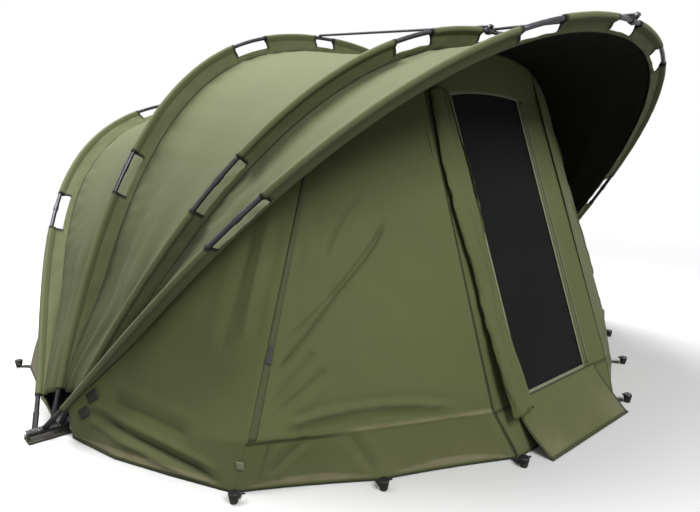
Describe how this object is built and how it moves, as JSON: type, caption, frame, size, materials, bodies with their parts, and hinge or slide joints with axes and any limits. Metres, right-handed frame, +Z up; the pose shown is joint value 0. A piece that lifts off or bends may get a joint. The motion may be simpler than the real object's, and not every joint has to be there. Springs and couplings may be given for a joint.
{
  "type": "bivvy tent",
  "caption": "Free-standing bivvy tent: pole ribs fan out from two ground hubs under a cloth canopy, with a mesh door in a closed front and tension bars across the top.",
  "frame": {"origin": "on the ground, midway between the two hub blocks and midway between the frontmost and rearmost points", "axes": "+X to the right of someone who faces the door from outside, -Y out of the door, +Z up"},
  "size_m": [3.1526, 2.7485, 1.6154],
  "materials": {
    "canopy_cloth": "coated woven cloth, olive, matt",
    "infill_cloth": "coated woven cloth, darker olive, matt",
    "mesh_net": "fine black netting",
    "pole_metal": "dark grey coated tube, satin",
    "black_plastic": "moulded, matt black",
    "pin_steel": "plain steel",
    "zip_tape": "woven tape, dark olive, matt"
  },
  "bodies": {
    "ground_set": {"hub_block_left": "black_plastic", "hub_block_right": "black_plastic", "hub_pin_left": "pin_steel", "hub_pin_right": "pin_steel", "rear_panel": "canopy_cloth", "peg_corner_left": "black_plastic", "peg_corner_right": "black_plastic", "peg_side_left": "black_plastic", "peg_side_right": "black_plastic", "peg_door_left": "black_plastic", "peg_door_right": "black_plastic", "peg_rear_corner_left": "black_plastic", "peg_rear_corner_right": "black_plastic", "peg_rear_left": "black_plastic", "peg_rear_right": "black_plastic"},
    "rib_1": {"rib_1_knuckle_left": "black_plastic", "rib_1_knuckle_right": "black_plastic", "rib_1_leg_left": "pole_metal", "rib_1_leg_right": "pole_metal", "rib_1_crown": "pole_metal", "rib_1_sleeve": "canopy_cloth", "canopy_bay_1": "canopy_cloth"},
    "rib_2": {"rib_2_knuckle_left": "black_plastic", "rib_2_knuckle_right": "black_plastic", "rib_2_leg_left": "pole_metal", "rib_2_leg_right": "pole_metal", "rib_2_crown": "pole_metal", "rib_2_sleeve": "canopy_cloth", "canopy_bay_2": "canopy_cloth"},
    "rib_3": {"rib_3_knuckle_left": "black_plastic", "rib_3_knuckle_right": "black_plastic", "rib_3_leg_left": "pole_metal", "rib_3_leg_right": "pole_metal", "rib_3_crown": "pole_metal", "rib_3_sleeve": "canopy_cloth", "canopy_bay_3": "canopy_cloth", "bar_bracket_1": "black_plastic", "bar_pin_1": "pin_steel"},
    "rib_4": {"rib_4_knuckle_left": "black_plastic", "rib_4_knuckle_right": "black_plastic", "rib_4_leg_left": "pole_metal", "rib_4_leg_right": "pole_metal", "rib_4_crown": "pole_metal", "rib_4_sleeve": "canopy_cloth", "wing_left": "infill_cloth", "wing_right": "infill_cloth", "front_panel_left": "infill_cloth", "front_panel_right": "infill_cloth", "zip_flap_left": "zip_tape", "zip_flap_right": "zip_tape", "door_surround": "infill_cloth", "door_mesh": "mesh_net", "rolled_door": "infill_cloth", "mud_flap": "infill_cloth", "bar_bracket_2": "black_plastic", "bar_pin_2": "pin_steel"},
    "bar_1": {"tension_bar_1": "pole_metal"},
    "bar_2": {"tension_bar_2": "pole_metal"},
    "slider_left": {"zip_slider_left": "black_plastic"},
    "slider_right": {"zip_slider_right": "black_plastic"}
  },
  "joints": [
    {"name": "rib_1_fold", "type": "hinge", "parent": "ground_set", "child": "rib_1", "pos_m": [0, 0, 0.03], "axis": [-1, 0, 0], "range_deg": [0, 41], "deforming": ["rear_panel"]},
    {"name": "rib_2_fold", "type": "hinge", "parent": "rib_1", "child": "rib_2", "pos_m": [0, 0, 0.03], "axis": [-1, 0, 0], "range_deg": [0, 30.4], "deforming": ["canopy_bay_1"]},
    {"name": "rib_3_fold", "type": "hinge", "parent": "rib_2", "child": "rib_3", "pos_m": [0, 0, 0.03], "axis": [-1, 0, 0], "range_deg": [0, 31.5], "deforming": ["canopy_bay_2"]},
    {"name": "rib_4_fold", "type": "hinge", "parent": "rib_3", "child": "rib_4", "pos_m": [0, 0, 0.03], "axis": [-1, 0, 0], "range_deg": [0, 10.6], "deforming": ["canopy_bay_3", "wing_left", "wing_right", "front_panel_left", "front_panel_right", "zip_flap_left", "zip_flap_right", "door_surround", "door_mesh", "rolled_door", "mud_flap"]},
    {"name": "bar_1_swing", "type": "hinge", "parent": "rib_3", "child": "bar_1", "pos_m": [-0.022, -0.82795, 1.50539], "axis": [1, 0, 0], "range_deg": [0, 113]},
    {"name": "bar_2_swing", "type": "hinge", "parent": "rib_4", "child": "bar_2", "pos_m": [0.022, -1.36693, 1.47044], "axis": [1, 0, 0], "range_deg": [0, 129]},
    {"name": "zip_left_slide", "type": "slide", "parent": "rib_4", "child": "slider_left", "axis": [0.3637, 0.1456, 0.9201], "range_m": [-0.24, 0.6]},
    {"name": "zip_right_slide", "type": "slide", "parent": "rib_4", "child": "slider_right", "axis": [-0.3637, 0.1456, 0.9201], "range_m": [-0.24, 0.6]}
  ],
  "couplings": [
    {"joint": "rib_2_fold", "follows": "rib_1_fold", "ratio": 0.7414},
    {"joint": "rib_3_fold", "follows": "rib_1_fold", "ratio": 0.7682},
    {"joint": "rib_4_fold", "follows": "rib_1_fold", "ratio": 0.2585},
    {"joint": "bar_1_swing", "follows": "rib_1_fold", "ratio": 2.756},
    {"joint": "bar_2_swing", "follows": "rib_1_fold", "ratio": 3.146}
  ]
}
